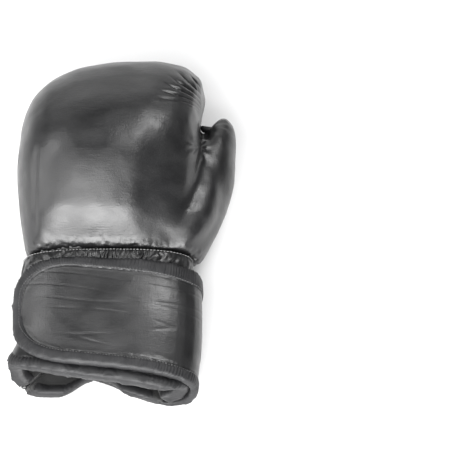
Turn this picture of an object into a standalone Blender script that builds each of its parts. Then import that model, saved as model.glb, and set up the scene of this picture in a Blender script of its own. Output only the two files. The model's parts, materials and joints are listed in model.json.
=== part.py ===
"""Left-hand boxing glove with a wrap-around wrist strap, lying palm down on a surface.

Frame: metres, +Z up through the back of the hand, +Y towards the knuckles, +X towards the thumb.
Every size below is in millimetres and is turned into metres when a mesh is made.

The glove is made of three lofted forms. The mitt is a padded tube that curls over into a fist, the
thumb is a short tube beside it, and the cuff is a flattened tube split along the palm. Each layer
(cover, foam, lining) is the same loft taken at another depth below the outer skin.
"""

import math

import bmesh
import bpy
from mathutils import Vector

MM = 0.001
# The middle of the glove's footprint, which becomes the origin.
CENTRE = Vector((2.1, -4.8, 0.0))

# Layers of the mitt and the thumb, as depths below the outer skin.
COVER = 1.3
FOAM_TOP = 2.2
LINING = 1.0
LAYER_GAP = 1.9

# The mitt's stations: y, z of the spine, lean of the section from +Z towards +Y in degrees,
# x of the little-finger side and of the thumb side, height outwards and inwards from the spine.
MITT = (
    (-32.0, 38, 0, -73, 53, 29, 25),
    (-20.0, 42, 0, -76, 54, 45, 27),
    (0.0, 48, 0, -79, 56, 53, 27),
    (20.0, 55, 0, -80.5, 60, 55, 24),
    (42.0, 60, 3, -81.5, 63, 55, 17),
    (60.0, 59, 18, -80.5, 65, 55, 15),
    (72.0, 53, 48, -79, 66.5, 56.5, 14),
    (78.0, 44, 78, -76, 66, 56, 14),
    (77.0, 35, 112, -72, 63, 52, 14),
    (70.0, 27, 145, -68, 57, 34, 14),
    (56.0, 23, 176, -65, 53, 27, 16),
    (40.0, 22, 180, -62, 50, 26, 17),
    (30.0, 21, 180, -57, 45, 20, 12),
    (25.0, 21, 180, -48, 36, 12, 6),
    (23.5, 21, 180, -40, 28, 4, 2),
)
# The space for the hand at the same stations: x sides, height outwards and inwards.
HAND = (
    (-56, 42, 14, 12),
    (-56, 42, 14, 12),
    (-55, 42, 14, 13),
    (-54, 44, 14, 13),
    (-53, 44, 13, 9),
    (-52, 44, 12, 8.5),
    (-51, 43, 11, 8),
    (-50, 42, 10, 7.5),
    (-49, 41, 10, 7.5),
    (-48, 40, 10, 8),
    (-47, 39, 9, 9),
    (-46, 38, 8, 8),
    (-42, 34, 5, 5),
    (-36, 28, 4, 3),
    (-30, 20, 2, 1),
)
MITT_ROUND = 2.6
KNUCKLE_SHEAR = 0.10
SHEAR_FROM, SHEAR_TO = 0.0, 70.0
# The back of the mitt is fuller above the first knuckle.
LOBE = 12.0
LOBE_FROM, LOBE_FULL, LOBE_TO = 3.0, 6.5, 9.0

WRIST_U = 0.0
TIP_U = 14.0
PALM_END_U = 4.5
GRIP_START_U = 10.5
FOAM_END_U = 12.0
HAND_END_U = 11.0
ROWS_PER_STATION = 2
SIDE_SEAM = 12.0
BEND_SEAM = 42.0
BEND_FROM, BEND_TO = 3.5, 11.5

# The thumb's stations: spine point, half width and half height of the section.
THUMB = (
    (45, -28, 36, 19, 19),
    (51, -8, 38, 23, 23),
    (59, 18, 40, 25.5, 25),
    (64.5, 40, 42, 26, 25.5),
    (71, 58, 43, 21, 23),
    (77, 70, 44, 15, 19),
    (80.5, 80.5, 45, 9.5, 13),
    (80.5, 90, 45, 4, 5),
)
THUMB_SPACE = 9.0
THUMB_GAP = 0.8
HOLLOW_FROM, HOLLOW_TO = 0.45, 5.0
TUNNEL_FROM = Vector((30.0, 4.0, 47.0))
TUNNEL_TO = Vector((64.0, 24.0, 41.0))
TUNNEL_HALF = (15.0, 10.0)
THUMB_SEAM = (-32.0, 186.0)
# The upright line about which the thumb flexes outwards.
THUMB_FLEX = (Vector((60.0, -27.0, 48.0)), Vector((60.0, -27.0, 28.0)))

# The cuff's own frame: s runs from the wrist towards the hem, across goes to the thumb side.
CUFF_START = Vector((-6.0, -32.0, 0.0))
CUFF_TURN = math.radians(7.0)
CUFF_AXIS = Vector((-math.sin(CUFF_TURN), -math.cos(CUFF_TURN), 0.0))
CUFF_SLANT = math.sin(CUFF_TURN)
SLANT_FULL = 24.0
CUFF_LENGTH = 102.0
# At each s: reach to the little finger's side and to the thumb's, height of the middle, height
# above and below it.
CUFF = (
    (0.0, 68.0, 62.0, 38.0, 27.0, 32.0),
    (36.0, 65.5, 67.5, 36.0, 26.0, 31.0),
    (72.0, 62.5, 71.0, 33.0, 25.0, 30.0),
    (108.0, 73.5, 70.5, 30.0, 24.0, 29.0),
    (144.0, 86.0, 70.0, 27.0, 23.0, 28.0),
)
CUFF_ROUND = 2.7
# The hem's s by the angle round the cuff: 0 is the thumb's side, 90 the back, 270 the palm's split.
HEM = ((0, 96), (45, 104), (90, 103), (140, 99.5), (180, 90), (215, 100), (235, 108), (256, 106))
HEM += ((269, 90), (271, 88), (286, 99), (310, 102), (340, 98), (360, 95))
CUFF_FLOOR = 8.6
CUFF_LAYERS = {"cover": (0.0, -1.2), "foam": (-1.6, -6.6), "lining": (-7.0, -8.0)}
SPLIT_GAP = 0.016
SPLIT_START = 10.0
FOLD_AT_WRIST = 0.022
FOLD_AT_HEM = 0.79
FOLD_GAP = 0.006
TAPE = 1.0
TAPE_GAP = 0.65
HEM_LEG = 6.0
HEM_TAPE_TOP = 1.65

# The strap is a flat band wound round the cuff: w is the distance round it from the sewn end and
# v the distance from its edge on the knuckles' side. Its layers are heights above the cuff's cover.
STRAP_WIDTH = 83.0
SEWN_WIDTH = 75.0
WIDEN_FROM, WIDEN_TO = 40.0, 100.0
# How far its first edge lies behind the wrist seam, by the distance round it.
STRAP_LEAD = ((0, 5.0), (55, 10.5), (110, 17.0), (165, 13.5), (205, 12.7), (255, 13.5), (320, 15.0))
HOOK = (1.5, 3.3)
STRAP_CORE = (3.8, 5.4)
STRAP_FACE = (5.75, 6.8)
STRAP_TAPE_LEG = 7.0
STRAP_TAPE_RISE = 1.75
STRAP_GIRTH_S = 54.0
STRAP_SEWN_ANGLE = -136.0
STRAP_LOW_ANGLE = -30.0
STRAP_HIGH_ANGLE = 26.0
STRAP_END_ANGLE = 158.0
STRAP_END_RADIUS = 48.0
ANCHOR_LENGTH = 12.0
HINGE_GAP = 0.8
TONGUE_ROUND = 2.15
TONGUE_SKEW = 3.0
COLUMN = 7.0
PATCH_ANGLES = (92.0, 140.0)
LOOP_PATCH = (0.35, 1.0)
HEM_TAPE_SHY = 0.006
FLAP_TAPE_SHY = 0.08
FLAP_START = SPLIT_START + 1
FLAPS = ((-1, "little_finger_flap"), (1, "thumb_flap"))

BLACK_VINYL = ((0.018, 0.018, 0.020), 0.36)
BLACK_TAPE = ((0.030, 0.030, 0.032), 0.55)
GREY_FOAM = ((0.22, 0.22, 0.23), 0.9)
DENSE_FOAM = ((0.10, 0.10, 0.11), 0.85)
BLACK_LINING = ((0.025, 0.025, 0.027), 0.8)
FUZZ = ((0.015, 0.015, 0.016), 0.95)
THREAD = ((0.10, 0.10, 0.10), 0.6)


def between(a, b, t):
    return a + (b - a) * t


def eased(t):
    t = min(1.0, max(0.0, t))
    return t * t * (3 - 2 * t)


def station(rows, u):
    """The row at u, read from a smooth curve through the numbered rows."""
    i = min(int(u), len(rows) - 2)
    t = u - i
    picks = [rows[min(max(k, 0), len(rows) - 1)] for k in (i - 1, i, i + 1, i + 2)]
    return [
        0.5 * (2 * b + (c - a) * t + (2 * a - 5 * b + 4 * c - d) * t**2 + (3 * b - a - 3 * c + d) * t**3)
        for a, b, c, d in zip(*picks)
    ]


def steps(first, last, count):
    return [between(first, last, i / count) for i in range(count + 1)]


def rounded(angle, power):
    """Cosine and sine of a superellipse with that power."""
    c, s = math.cos(math.radians(angle)), math.sin(math.radians(angle))
    return (math.copysign(abs(c) ** (2 / power), c), math.copysign(abs(s) ** (2 / power), s))


def sheared(forward, across):
    """How far the line of the knuckles slants forward towards the thumb's side."""
    return KNUCKLE_SHEAR * eased((forward - SHEAR_FROM) / (SHEAR_TO - SHEAR_FROM)) * across


CUFF_ALONG = steps(0, 1, 5)
CUFF_ACROSS = steps(0, 1, 26)
FLAP_ACROSS = [0, 0.08, 0.18, 0.3, 0.44, 0.58, 0.72, 0.86, 1]


# ---------------------------------------------------------------- the three lofts


def mitt_point(u, angle, depth, towards_hand=0.0):
    """A point of the mitt at that depth under its skin, or on the way from there to the lining."""
    y, z, lean, x_little, x_thumb, outer, inner = station(MITT, u)
    sides = [x_little + depth, x_thumb - depth, outer - depth, inner - depth]
    if towards_hand:
        spare = LINING + LAYER_GAP
        hx0, hx1, hout, hin = station(HAND, u)
        lined = (hx0 - spare, hx1 + spare, hout + spare, hin + spare)
        sides = [between(a, b, towards_hand) for a, b in zip(sides, lined)]
    x0, x1, out, inn = sides
    c, s = rounded(angle, MITT_ROUND)
    across = (x1 - x0) / 2 * c
    height = s * max(out if s > 0 else inn, 0.4)
    tilt = math.radians(lean)
    forward = y + height * math.sin(tilt)
    up = z + height * math.cos(tilt)
    if not towards_hand:
        up = max(up, depth)
        if c > 0 and s > 0:
            grown = eased((u - LOBE_FROM) / (LOBE_FULL - LOBE_FROM))
            across += LOBE * c * s * grown * eased((LOBE_TO + 1.5 - u) / 2.5)
    return Vector(((x0 + x1) / 2 + across, forward + sheared(forward, across), up))


def hand_point(u, angle, depth):
    """A point of the hand's space, or of its lining when the depth is negative."""
    y, z, lean, _, _, _, _ = station(MITT, u)
    x0, x1, out, inn = station(HAND, u)
    c, s = rounded(angle, MITT_ROUND)
    across = ((x1 - x0) / 2 - depth) * c
    height = s * ((out if s > 0 else inn) - depth)
    tilt = math.radians(lean)
    forward = y + height * math.sin(tilt)
    up = z + height * math.cos(tilt)
    return Vector(((x0 + x1) / 2 + across, forward + sheared(forward, across), up))


def thumb_point(u, angle, depth):
    x, y, z, half_width, half_height = station(THUMB, u)
    a, b = station(THUMB, max(u - 0.05, 0)), station(THUMB, min(u + 0.05, len(THUMB) - 1))
    along = Vector((b[0] - a[0], b[1] - a[1], 0)).normalized()
    side = Vector((along.y, -along.x, 0))
    c, s = rounded(angle, 2.2)
    return (
        Vector((x, y, z))
        + side * (c * max(half_width - depth, 0.8))
        + Vector((0, 0, s * max(half_height - depth, 0.8)))
    )


def cuff_section(s):
    """Reach to either side, height of the middle, and height above and below it at s."""
    step = CUFF[1][0] - CUFF[0][0]
    return station(CUFF, max(s, 0.0) / step)[1:]


def cuff_floor(s, raised):
    """The flat palm side: it rises to meet the mitt at the wrist."""
    return CUFF_FLOOR + 4.0 * (1 - eased((s + 4) / 10)) - raised


def cuff_place(s, across, up):
    slant = CUFF_SLANT * eased(s / SLANT_FULL)
    return CUFF_START + CUFF_AXIS * s + Vector((across, -across * slant, up))


def cuff_from(s, c, q, raised):
    little, thumb, middle, above, below = cuff_section(s)
    across = c * ((thumb if c > 0 else little) + raised)
    up = middle + q * ((above if q > 0 else below) + raised)
    return cuff_place(s, across, max(up, cuff_floor(s, raised)))


def cuff_point(s, angle, raised):
    return cuff_from(s, *rounded(angle, CUFF_ROUND), raised)


def share_angle(share):
    """The angle, on the palm side, of the point that far across: -1 is the little finger's side."""
    turn = math.degrees(math.acos(min(abs(share), 1) ** (CUFF_ROUND / 2)))
    return 360 - turn if share > 0 else 180 + turn


def hem_at(angle):
    """How far the cuff reaches at that angle."""
    angle %= 360
    for (a, s0), (b, s1) in zip(HEM, HEM[1:]):
        if a <= angle <= b:
            return between(s0, s1, eased((angle - a) / (b - a)))
    return HEM[0][1]


def fold_share(s):
    """Where a palm flap's fold line lies, as a share of the reach to that side."""
    t = (s - SPLIT_START) / (CUFF_LENGTH - SPLIT_START)
    return between(FOLD_AT_WRIST, FOLD_AT_HEM, max(t, 0))


def girth_table():
    """Distance round the strap's middle layer from its sewn end, by angle."""
    table = [(STRAP_SEWN_ANGLE - 15, 0.0)]
    while table[-1][0] < STRAP_END_ANGLE + 5:
        a, w = table[-1]
        level = STRAP_CORE[1]
        here, there = (cuff_point(STRAP_GIRTH_S, x, level) for x in (a, a + 1))
        table.append((a + 1, w + (there - here).length))
    zero = next(w for a, w in table if a >= STRAP_SEWN_ANGLE)
    return [(a, w - zero) for a, w in table]


GIRTH = girth_table()


def angle_at(w):
    for (a, w0), (b, w1) in zip(GIRTH, GIRTH[1:]):
        if w <= w1:
            return between(a, b, (w - w0) / (w1 - w0))
    return GIRTH[-1][0]


def way_to(angle):
    for (a, w0), (b, w1) in zip(GIRTH, GIRTH[1:]):
        if angle <= b:
            return between(w0, w1, (angle - a) / (b - a))
    return GIRTH[-1][1]


def strap_lead(w):
    """How far the strap's first edge lies behind the wrist seam at w."""
    for (w0, s0), (w1, s1) in zip(STRAP_LEAD, STRAP_LEAD[1:]):
        if w <= w1:
            return between(s0, s1, eased((w - w0) / (w1 - w0)))
    return STRAP_LEAD[-1][1]


def strap_point(w, v, raised):
    """The strap's far end slants back a little towards the hem."""
    share = eased((w - way_to(STRAP_END_ANGLE) + 2 * STRAP_END_RADIUS) / (2 * STRAP_END_RADIUS))
    turned = w - share * TONGUE_SKEW * (2 * v / STRAP_WIDTH - 1)
    return cuff_point(strap_lead(w) + v, angle_at(turned), raised)


def strap_edges(w):
    """First and last v of the strap there. Its free end is a rounded tongue."""
    left = way_to(STRAP_END_ANGLE) - w
    if left >= STRAP_END_RADIUS:
        return 0.0, between(SEWN_WIDTH, STRAP_WIDTH, eased((w - WIDEN_FROM) / (WIDEN_TO - WIDEN_FROM)))
    keep = (max(0.0, 1 - (1 - left / STRAP_END_RADIUS) ** TONGUE_ROUND)) ** (1 / TONGUE_ROUND)
    half = STRAP_WIDTH / 2
    return half - half * keep, half + half * keep


# ---------------------------------------------------------------- making objects


def material(name, look):
    colour, roughness = look
    made = bpy.data.materials.new(name)
    made.use_nodes = True
    shader = made.node_tree.nodes["Principled BSDF"]
    shader.inputs["Base Color"].default_value = (*colour, 1.0)
    shader.inputs["Roughness"].default_value = roughness
    shader.inputs["Metallic"].default_value = 0.0
    return made


def add_mesh(name, points, faces, look):
    mesh = bpy.data.meshes.new(name)
    shape = bmesh.new()
    corners = [shape.verts.new((p - CENTRE) * MM) for p in points]
    for face in faces:
        shape.faces.new([corners[i] for i in face])
    bmesh.ops.recalc_face_normals(shape, faces=shape.faces)
    shape.to_mesh(mesh)
    shape.free()
    mesh.materials.append(material(name, look))
    mesh.shade_smooth()
    mesh.set_sharp_from_angle(angle=math.radians(40))
    made = bpy.data.objects.new(name, mesh)
    bpy.context.collection.objects.link(made)
    return made


def slab(name, outer, inner, look, closed=False, capped=False):
    """A solid between two grids of points. closed joins the last column to the first, and capped
    closes the far end of both grids, which makes a bag."""
    rows, columns = len(outer), len(outer[0])
    points = [p for grid in (outer, inner) for row in grid for p in row]
    sheet = rows * columns

    def at(side, i, j):
        return side * sheet + i * columns + j % columns

    faces = []
    last = columns if closed else columns - 1
    for i in range(rows - 1):
        for j in range(last):
            faces.append([at(0, i, j), at(0, i, j + 1), at(0, i + 1, j + 1), at(0, i + 1, j)])
            faces.append([at(1, i, j), at(1, i + 1, j), at(1, i + 1, j + 1), at(1, i, j + 1)])
    for j in range(last):
        faces.append([at(0, 0, j), at(1, 0, j), at(1, 0, j + 1), at(0, 0, j + 1)])
        if not capped:
            k = rows - 1
            faces.append([at(0, k, j), at(0, k, j + 1), at(1, k, j + 1), at(1, k, j)])
    if capped:
        for side in (0, 1):
            faces.append([at(side, rows - 1, j) for j in range(columns)])
    if not closed:
        for i in range(rows - 1):
            for j in (0, columns - 1):
                faces.append([at(0, i, j), at(0, i + 1, j), at(1, i + 1, j), at(1, i, j)])
    return add_mesh(name, points, faces, look)


def sweep(name, rings, look):
    """A solid through a row of rings with the same number of points."""
    count = len(rings[0])
    points = [p for ring in rings for p in ring]
    faces = []
    for i in range(len(rings) - 1):
        for j in range(count):
            n = (j + 1) % count
            k = i + 1
            faces.append([i * count + j, i * count + n, k * count + n, k * count + j])
    faces.append(list(range(count)))
    faces.append([(len(rings) - 1) * count + j for j in range(count)])
    return add_mesh(name, points, faces, look)


def cut(target, cutter):
    modifier = target.modifiers.new("Cut", "BOOLEAN")
    modifier.operation = "DIFFERENCE"
    modifier.object = cutter


def helper(shape):
    shape.hide_render = True
    shape.display_type = "WIRE"
    return shape


# ---------------------------------------------------------------- mitt


def seam_angle(u):
    """Where the side seam lies below the mitt's widest line. It runs further round inside the bend."""
    t = (u - BEND_FROM) / (BEND_TO - BEND_FROM)
    inside = eased(t * 5) * eased((1 - t) * 5)
    return between(SIDE_SEAM, BEND_SEAM, inside)


def outer_grid(us, depth, towards_hand=0.0, count=14):
    return [
        [mitt_point(u, a, depth, towards_hand) for a in steps(-seam_angle(u), 180 + seam_angle(u), count)]
        for u in us
    ]


def inner_grid(us, depth, towards_hand=0.0, count=10, shy=0.6):
    return [
        [
            mitt_point(u, a, depth, towards_hand)
            for a in steps(180 + seam_angle(u) + shy, 360 - seam_angle(u) - shy, count)
        ]
        for u in us
    ]


def rows_between(first, last):
    return steps(first, last, round((last - first) * ROWS_PER_STATION))


def make_mitt():
    us = rows_between(WRIST_U, TIP_U)
    slab("back_cover", outer_grid(us, 0), outer_grid(us, COVER), BLACK_VINYL)
    us = rows_between(WRIST_U, FOAM_END_U)
    middle = 0.45
    slab("outer_foam", outer_grid(us, FOAM_TOP), outer_grid(us, FOAM_TOP, middle), GREY_FOAM)
    inside = [outer_grid(us, FOAM_TOP, share) for share in (middle + 0.09, 1.0)]
    slab("inner_foam", *inside, DENSE_FOAM)
    us = rows_between(WRIST_U, PALM_END_U)
    slab("palm_cover", inner_grid(us, 0), inner_grid(us, COVER), BLACK_VINYL)
    slab("palm_foam", inner_grid(us, FOAM_TOP), inner_grid(us, FOAM_TOP, 1.0), GREY_FOAM)
    us = rows_between(GRIP_START_U, TIP_U)
    slab("grip_cover", inner_grid(us, 0), inner_grid(us, COVER), BLACK_VINYL)
    us = rows_between(GRIP_START_U, FOAM_END_U)
    slab("finger_foam", inner_grid(us, FOAM_TOP), inner_grid(us, FOAM_TOP, 1.0), GREY_FOAM)
    us = steps(WRIST_U, HAND_END_U, 15)
    angles = [i * 360 / 18 for i in range(18)]
    lining = [[[hand_point(u, a, depth) for a in angles] for u in us] for depth in (-LINING, 0)]
    slab("hand_lining", *lining, BLACK_LINING, closed=True, capped=True)


def make_grip_bar():
    """A stuffed roll across the palm, which the fingers close round."""
    y, z, radius, left, right, end = 60.0, 41.0, 6.5, -50.0, 40.0, 5.0
    rings = []
    for x, share in ((left, 0.55), (left + end, 1), (right - end, 1), (right, 0.55)):
        ahead = y + KNUCKLE_SHEAR * (x + 6)
        turns = [math.tau * k / 12 for k in range(12)]
        r = share * radius
        rings.append([Vector((x, ahead + r * math.cos(a), z + r * math.sin(a))) for a in turns])
    sweep("grip_bar", rings, BLACK_LINING)


def make_crease_tape():
    """The tape that joins the palm cover to the grip cover at the bottom of the fold."""
    rings = []
    for x in (-56, -37, -18, 1, 20, 39):
        y = 48.6 + KNUCKLE_SHEAR * 0.8 * (x + 6)
        corners = ((0, -1.2), (2.6, -1.2), (2.6, 1.2), (0, 1.2))
        rings.append([Vector((x, y + dy, 41.2 + dz)) for dy, dz in corners])
    sweep("crease_tape", rings, BLACK_TAPE)


# ---------------------------------------------------------------- thumb


def thumb_rings(first_u, last_u, count, depth):
    around = [i * 360 / 16 for i in range(16)]
    return [[thumb_point(u, a, depth) for a in around] for u in steps(first_u, last_u, count)]


def make_tunnel():
    """The way from the hand's space into the thumb's."""
    along = (TUNNEL_TO - TUNNEL_FROM).normalized()
    side = along.cross(Vector((0, 0, 1))).normalized()
    upward = side.cross(along)
    wide, high = TUNNEL_HALF
    rings = []
    for end in (TUNNEL_FROM, TUNNEL_TO):
        turns = [math.tau * k / 16 for k in range(16)]
        rings.append([end + side * (wide * math.cos(a)) + upward * (high * math.sin(a)) for a in turns])
    return helper(sweep("thumb_tunnel", rings, GREY_FOAM))


def make_thumb():
    angles = [i * 360 / 40 for i in range(40)]
    rings = [[mitt_point(u, a, -THUMB_GAP) for a in angles] for u in rows_between(WRIST_U, TIP_U)]
    rings.insert(0, [p + CUFF_AXIS * 12 for p in rings[0]])
    envelope = helper(sweep("mitt_envelope", rings, BLACK_VINYL))
    hollow = helper(sweep("thumb_hollow", thumb_rings(HOLLOW_FROM, HOLLOW_TO, 7, THUMB_SPACE), GREY_FOAM))
    tunnel = make_tunnel()

    us = steps(0, len(THUMB) - 1, 11)
    low, high = THUMB_SEAM

    def grid(first, last, count, depth):
        return [[thumb_point(u, a, depth) for a in steps(first, last, count)] for u in us]

    top = slab("thumb_back_cover", grid(low, high, 12, 0), grid(low, high, 12, COVER), BLACK_VINYL)
    under = (high + 0.9, 360 + low - 0.9, 8)
    bottom = slab("thumb_palm_cover", grid(*under, 0), grid(*under, COVER), BLACK_VINYL)
    foam = sweep("thumb_foam", thumb_rings(0, 5.6, 8, FOAM_TOP), GREY_FOAM)
    layers = [thumb_rings(HOLLOW_FROM + 0.1, HOLLOW_TO - 0.1, 7, THUMB_SPACE + d) for d in (0.5, 1.4)]
    lining = slab("thumb_lining", *layers, BLACK_LINING, closed=True, capped=True)
    for piece in (top, bottom, foam, lining):
        cut(piece, envelope)
    cut(foam, hollow)
    for piece in (foam, lining):
        cut(piece, tunnel)
    for name in ("back_cover", "outer_foam", "inner_foam", "palm_cover", "palm_foam", "hand_lining"):
        cut(bpy.data.objects[name], tunnel)


def make_thumb_tab():
    """The short strap that ties the thumb's tip to the mitt."""
    rings = []
    for x, y in ((67.9, 83.5), (69.2, 83.0), (70.6, 83.0)):
        corners = ((0, 5), (1.2, 5), (1.2, -5), (0, -5))
        rings.append([Vector((x, y + dy, 46 + dz)) for dy, dz in corners])
    sweep("thumb_tab", rings, BLACK_TAPE)


# ---------------------------------------------------------------- cuff


def fixed_place(t, k, first_s=1.0):
    """s and angle of a point of the cuff's fixed part: t from the wrist to the hem, k from the
    thumb's fold line over the back to the other fold line."""
    s = between(first_s, CUFF_LENGTH, t)
    for _ in range(3):
        share = fold_share(s) + FOLD_GAP
        angle = between(share_angle(share) - 360, share_angle(-share), k)
        s = between(first_s, hem_at(angle), t)
    return s, angle


def flap_place(side, t, k):
    """The same for a palm flap: t from the split's start to the hem, k from the split to the fold."""
    s = between(FLAP_START, CUFF_LENGTH, t)
    for _ in range(3):
        share = between(SPLIT_GAP, fold_share(s) - FOLD_GAP, k)
        angle = share_angle(side * share)
        s = between(FLAP_START, hem_at(angle), t)
    return s, angle


def make_cuff():
    looks = {"cover": BLACK_VINYL, "foam": GREY_FOAM, "lining": BLACK_LINING}
    for layer, depths in CUFF_LAYERS.items():
        fixed = [
            [[cuff_point(*fixed_place(t, k), d) for k in CUFF_ACROSS] for t in CUFF_ALONG] for d in depths
        ]
        slab(f"cuff_{layer}", *fixed, looks[layer])
        for side, name in FLAPS:
            flap = [
                [[cuff_point(*flap_place(side, t, k), d) for k in FLAP_ACROSS] for t in CUFF_ALONG]
                for d in depths
            ]
            slab(f"{name}_{layer}", *flap, looks[layer])


def tape_ring(place, leg, out, inn):
    """Eight corners of a tape folded over an edge. place(back, raised) gives a point that far
    back from the edge."""
    return [
        place(leg, out),
        place(-TAPE_GAP - TAPE, out),
        place(-TAPE_GAP - TAPE, inn),
        place(leg, inn),
        place(leg, inn + TAPE),
        place(-TAPE_GAP, inn + TAPE),
        place(-TAPE_GAP, out - TAPE),
        place(leg, out - TAPE),
    ]


def make_hem_tapes():
    out, inn = HEM_TAPE_TOP, CUFF_LAYERS["lining"][1] - 2 * TAPE_GAP - TAPE

    def ring(place):
        hem, angle = place
        return tape_ring(lambda back, r: cuff_point(hem - back, angle, r), HEM_LEG, out, inn)

    across = [HEM_TAPE_SHY] + CUFF_ACROSS[1:-1] + [1 - HEM_TAPE_SHY]
    sweep("cuff_hem_tape", [ring(fixed_place(1, k)) for k in across], BLACK_TAPE)
    for side, name in FLAPS:
        across = FLAP_ACROSS[:-1] + [1 - FLAP_TAPE_SHY]
        sweep(f"{name}_hem_tape", [ring(flap_place(side, 1, k)) for k in across], BLACK_TAPE)


def make_wrist():
    """The gathered strip below the wrist seam, and the thread that holds it."""
    rings = []
    for a in steps(-8, 188, 28):
        end = strap_lead(way_to(a)) + 1.0
        profile = ((1.4, 1.3), (4.5, 2.2), (end, 1.3), (end, 0.5), (1.4, 0.5))
        rings.append([cuff_point(s, a, r) for s, r in profile])
    sweep("wrist_welt", rings, BLACK_VINYL)
    rings = []
    for a in steps(-6, 186, 28):
        corners = ((-1, 0), (0, 1), (1, 0), (0, -0.6))
        rings.append([cuff_point(3.0 + 0.5 * q, a, 2.7 + 0.5 * r) for q, r in corners])
    sweep("wrist_thread", rings, THREAD)


# ---------------------------------------------------------------- strap


def strap_slab(name, ws, depths, look, inset=0.0):
    grids = []
    for raised in depths:
        grid = []
        for t in steps(0, 1, 6):
            row = []
            for w in ws:
                first, last = strap_edges(w)
                row.append(strap_point(w, between(first + inset, last - inset, t), raised))
            grid.append(row)
        grids.append(grid)
    return slab(name, *grids, look)


def tongue():
    """Cosine and sine pairs round the strap's free end, from the knuckles' side to the hem's."""
    return [rounded(a, TONGUE_ROUND) for a in steps(-90, 90, 24)[1:-1]]


def strap_ways(first_w, last_w):
    """Where the strap's columns of points lie, for its free end and for the parts before it."""
    count = max(8, round((last_w - first_w) / COLUMN))
    if last_w < way_to(STRAP_END_ANGLE) - 1:
        return steps(first_w, last_w, count)
    straight = last_w - STRAP_END_RADIUS
    half = [c for c, s in tongue() if s > 0.01]
    ends = [straight + STRAP_END_RADIUS * c for c in reversed(half)]
    return steps(first_w, straight, round((straight - first_w) / COLUMN)) + ends


def strap_outline(first_w, last_w):
    """Points (w, v) along the free end's edge, from the knuckles' side round to the hem's."""
    straight = last_w - STRAP_END_RADIUS
    side = steps(first_w, straight, round((straight - first_w) / COLUMN))
    half = STRAP_WIDTH / 2
    around = [(straight + STRAP_END_RADIUS * c, half + half * s) for c, s in tongue()]
    return [(w, 0.0) for w in side] + around + [(w, STRAP_WIDTH) for w in reversed(side)]


def strap_tape(name, edge, out, inn):
    """A tape along an edge given as (w, v) points. It folds towards the edge's left."""
    rings = []
    for i, (w, v) in enumerate(edge):
        before, after = edge[max(i - 1, 0)], edge[min(i + 1, len(edge) - 1)]
        along = Vector((after[0] - before[0], after[1] - before[1])).normalized()

        def place(back, raised, w=w, v=v, along=along):
            return strap_point(w - along.y * back, v + along.x * back, raised)

        rings.append(tape_ring(place, STRAP_TAPE_LEG, out, inn))
    sweep(name, rings, BLACK_TAPE)


def make_strap():
    low, high, end = way_to(STRAP_LOW_ANGLE), way_to(STRAP_HIGH_ANGLE), way_to(STRAP_END_ANGLE)
    gap = HINGE_GAP / 2
    out = STRAP_FACE[1] + STRAP_TAPE_RISE
    inn = STRAP_CORE[0] - TAPE_GAP - TAPE
    face, core = reversed(STRAP_FACE), reversed(STRAP_CORE)
    face, core = tuple(face), tuple(core)
    for name, first_w, last_w in (("strap_palm", gap, low - gap), ("strap_side", low + gap, high - gap)):
        ws = strap_ways(first_w, last_w)
        strap_slab(f"{name}_face", ws, face, BLACK_VINYL)
        strap_slab(f"{name}_core", ws, core, DENSE_FOAM)
        strap_tape(f"{name}_upper_tape", [(w, 0.0) for w in ws], out, inn)
        strap_tape(f"{name}_lower_tape", [(w, strap_edges(w)[1]) for w in reversed(ws)], out, inn)
    ws = strap_ways(high + gap, end)
    strap_slab("strap_end_face", ws, face, BLACK_VINYL)
    strap_slab("strap_end_core", ws, core, DENSE_FOAM)
    strap_tape("strap_end_tape", strap_outline(high + gap, end), out, inn)
    strap_slab("strap_anchor", steps(-ANCHOR_LENGTH, -gap, 2), core, BLACK_VINYL)
    patch = [w for w in ws if way_to(PATCH_ANGLES[0]) < w < way_to(PATCH_ANGLES[1])]
    strap_slab("strap_hook_patch", patch, (HOOK[1], HOOK[0]), FUZZ, inset=20.0)
    strap_slab("cuff_loop_patch", patch, (LOOP_PATCH[1], LOOP_PATCH[0]), FUZZ, inset=18.0)


# ---------------------------------------------------------------- joints


def strap_fold(angle):
    """Two ends of the line about which the strap bends at that angle, from the hem's side."""
    w = way_to(angle)
    level = STRAP_FACE[1] + STRAP_TAPE_RISE + 0.25
    return strap_point(w, strap_edges(w)[1], level), strap_point(w, 0.0, level)


def flap_fold(side):
    """Two ends of a palm flap's fold line, in the order that opens the flap when it turns."""
    ends = [
        cuff_point(s, share_angle(side * fold_share(s)), HEM_TAPE_TOP + 0.15)
        for s in (CUFF_LENGTH - 4, SPLIT_START + 2)
    ]
    return ends if side < 0 else ends[::-1]


def layers_of(name):
    return [f"{name}_{layer}" for layer in ("cover", "foam", "lining", "hem_tape")]


def strap_pieces(name):
    return [f"{name}_{piece}" for piece in ("face", "core", "upper_tape", "lower_tape")]


def pivot(name, line, pieces, parent=None):
    """An empty in the middle of a joint's line, which carries the pieces that turn about it."""
    place = ((line[0] + line[1]) / 2 - CENTRE) * MM
    made = bpy.data.objects.new(name, None)
    made.empty_display_size = 0.02
    bpy.context.collection.objects.link(made)
    made.parent = parent
    made["place"] = tuple(place)
    made.location = place - Vector(parent["place"]) if parent else place
    for piece in pieces:
        turned = bpy.data.objects[piece]
        turned.parent = made
        turned.location = -place
    return made


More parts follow.
